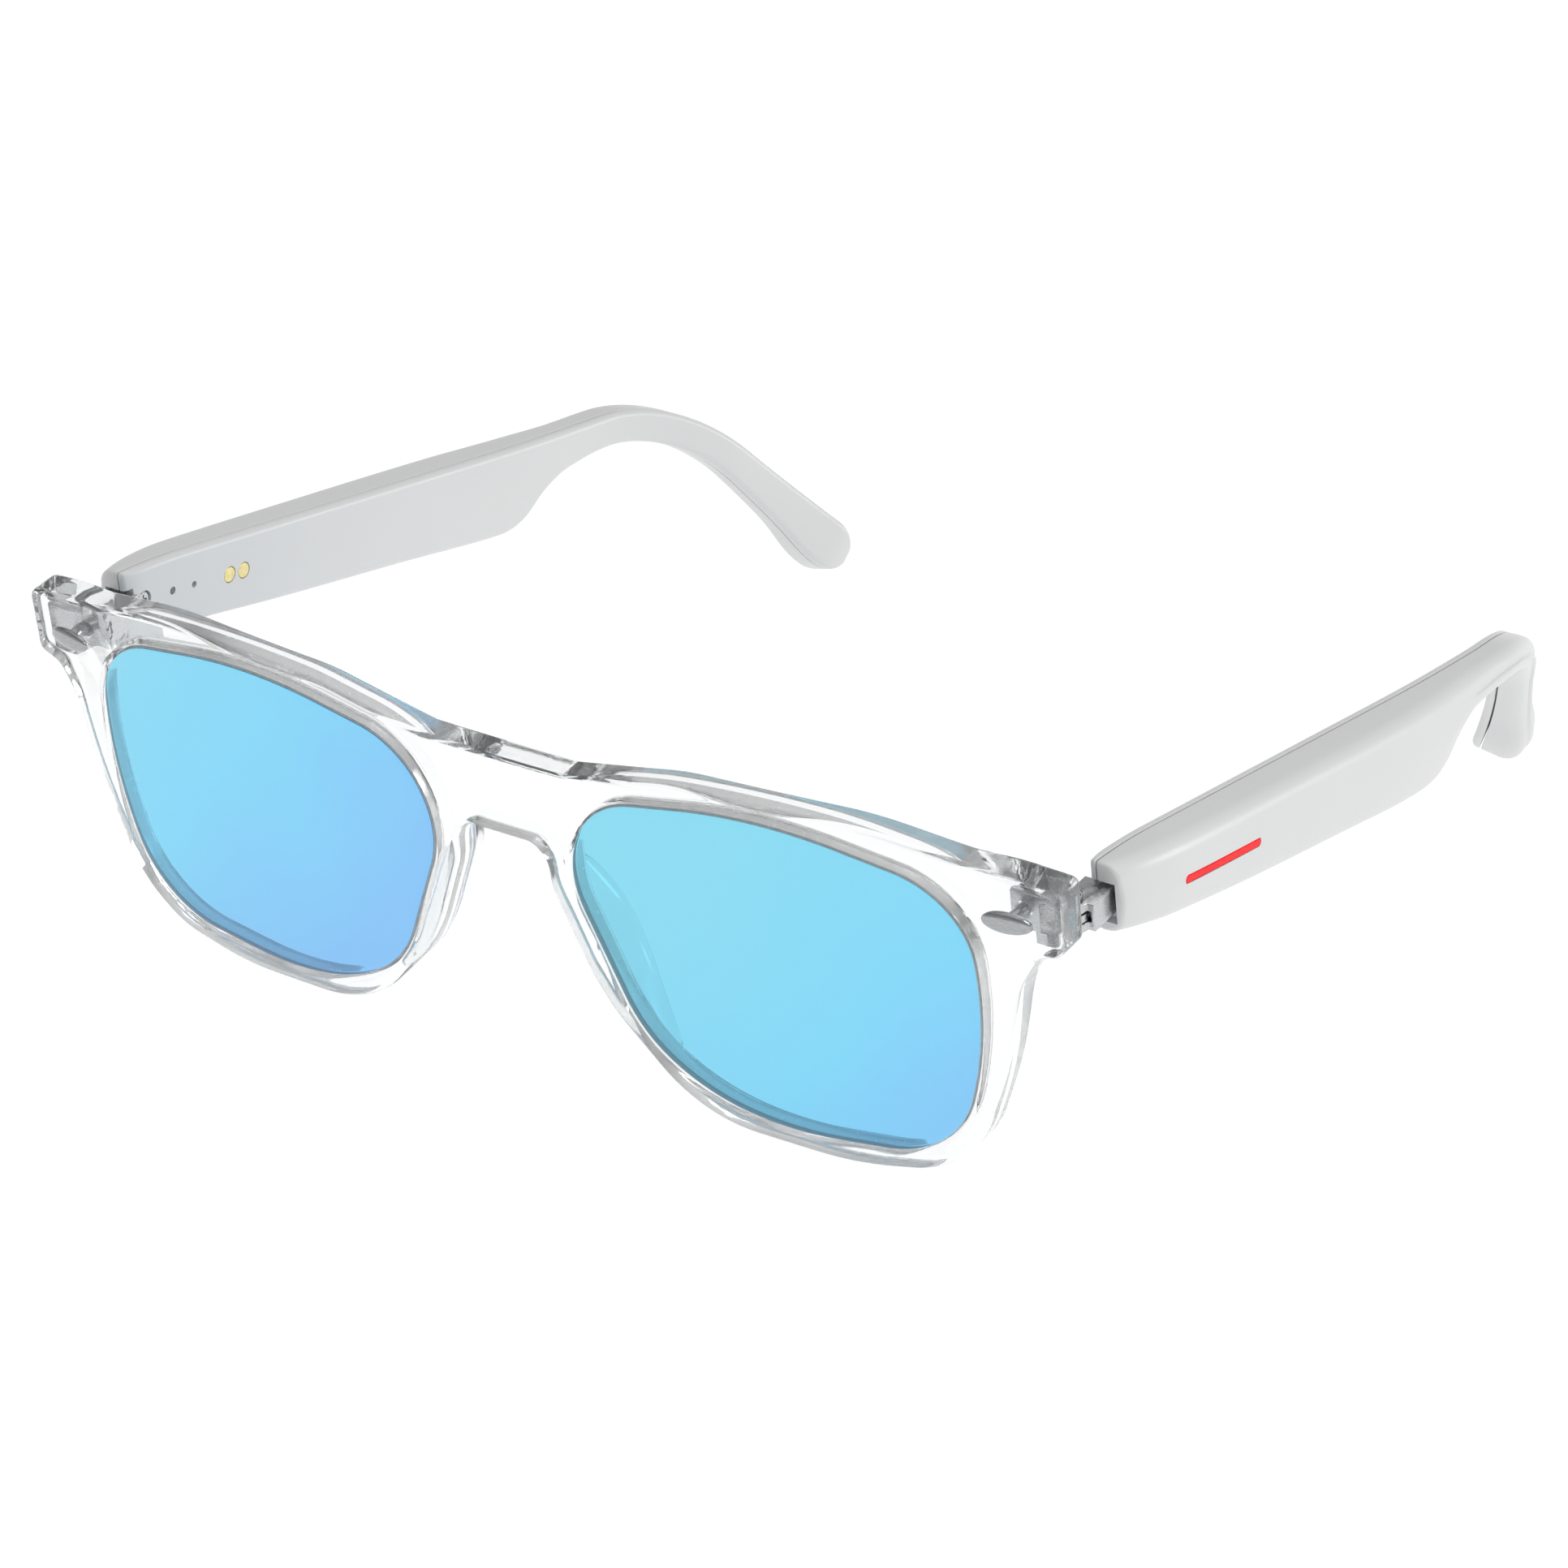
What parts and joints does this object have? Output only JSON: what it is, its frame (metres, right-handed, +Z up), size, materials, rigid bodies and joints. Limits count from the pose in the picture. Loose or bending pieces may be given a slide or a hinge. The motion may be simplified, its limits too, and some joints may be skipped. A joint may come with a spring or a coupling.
{
  "type": "smart glasses",
  "caption": "Smart glasses with a clear front, blue tinted lenses and light grey temples that fold on metal hinges and hold the electronics.",
  "frame": {"origin": "on the surface the glasses stand on, under the middle of their outer box", "axes": "+X towards the wearer's left, +Y from the lenses back to the temple tips, +Z up"},
  "size_m": [0.148, 0.1462, 0.0463],
  "materials": {
    "clear_frame": "clear polished plastic",
    "clear_pad": "clear soft-edged plastic",
    "blue_lens": "blue tinted, glossy",
    "temple_plastic": "light grey satin",
    "steel": "satin",
    "dark_metal": "dark satin",
    "gold_plating": "gold plated",
    "copper_film": "copper film",
    "tinned_can": "tinned",
    "circuit_board": "green solder mask",
    "battery_foil": "foil",
    "light_pipe": "smoked, glossy",
    "red_strip": "red, soft gloss"
  },
  "bodies": {
    "front": {"front_frame": "clear_frame", "left_lens": "blue_lens", "left_nose_pad": "clear_pad", "left_rivet": "steel", "left_front_hinge": "steel", "left_hinge_pin": "steel", "right_lens": "blue_lens", "right_nose_pad": "clear_pad", "right_rivet": "steel", "right_front_hinge": "steel", "right_hinge_pin": "steel"},
    "left_temple": {"left_temple_hinge": "steel", "left_temple_shell": "temple_plastic", "left_temple_cover": "temple_plastic", "left_cover_screw": "steel", "left_status_led": "light_pipe", "left_microphone": "tinned_can", "left_charge_contact_front": "gold_plating", "left_charge_contact_rear": "gold_plating", "left_circuit_board": "circuit_board", "left_battery": "battery_foil", "left_speaker": "dark_metal", "left_magnet": "steel", "left_touch_sensor": "copper_film", "left_speaker_mesh": "dark_metal", "left_touch_strip": "red_strip"},
    "right_temple": {"right_temple_hinge": "steel", "right_temple_shell": "temple_plastic", "right_temple_cover": "temple_plastic", "right_cover_screw": "steel", "right_status_led": "light_pipe", "right_microphone": "tinned_can", "right_charge_contact_front": "gold_plating", "right_charge_contact_rear": "gold_plating", "right_circuit_board": "circuit_board", "right_battery": "battery_foil", "right_speaker": "dark_metal", "right_magnet": "steel", "right_touch_sensor": "copper_film", "right_speaker_mesh": "dark_metal", "right_touch_strip": "red_strip"}
  },
  "joints": [
    {"name": "left_temple_fold", "type": "hinge", "parent": "front", "child": "left_temple", "pos_m": [0.0682, -0.05827, 0.03519], "axis": [0, -0.1524, 0.9883], "range_deg": [0, 87]},
    {"name": "right_temple_fold", "type": "hinge", "parent": "front", "child": "right_temple", "pos_m": [-0.0682, -0.05827, 0.03519], "axis": [0, 0.1524, -0.9883], "range_deg": [0, 79]}
  ]
}
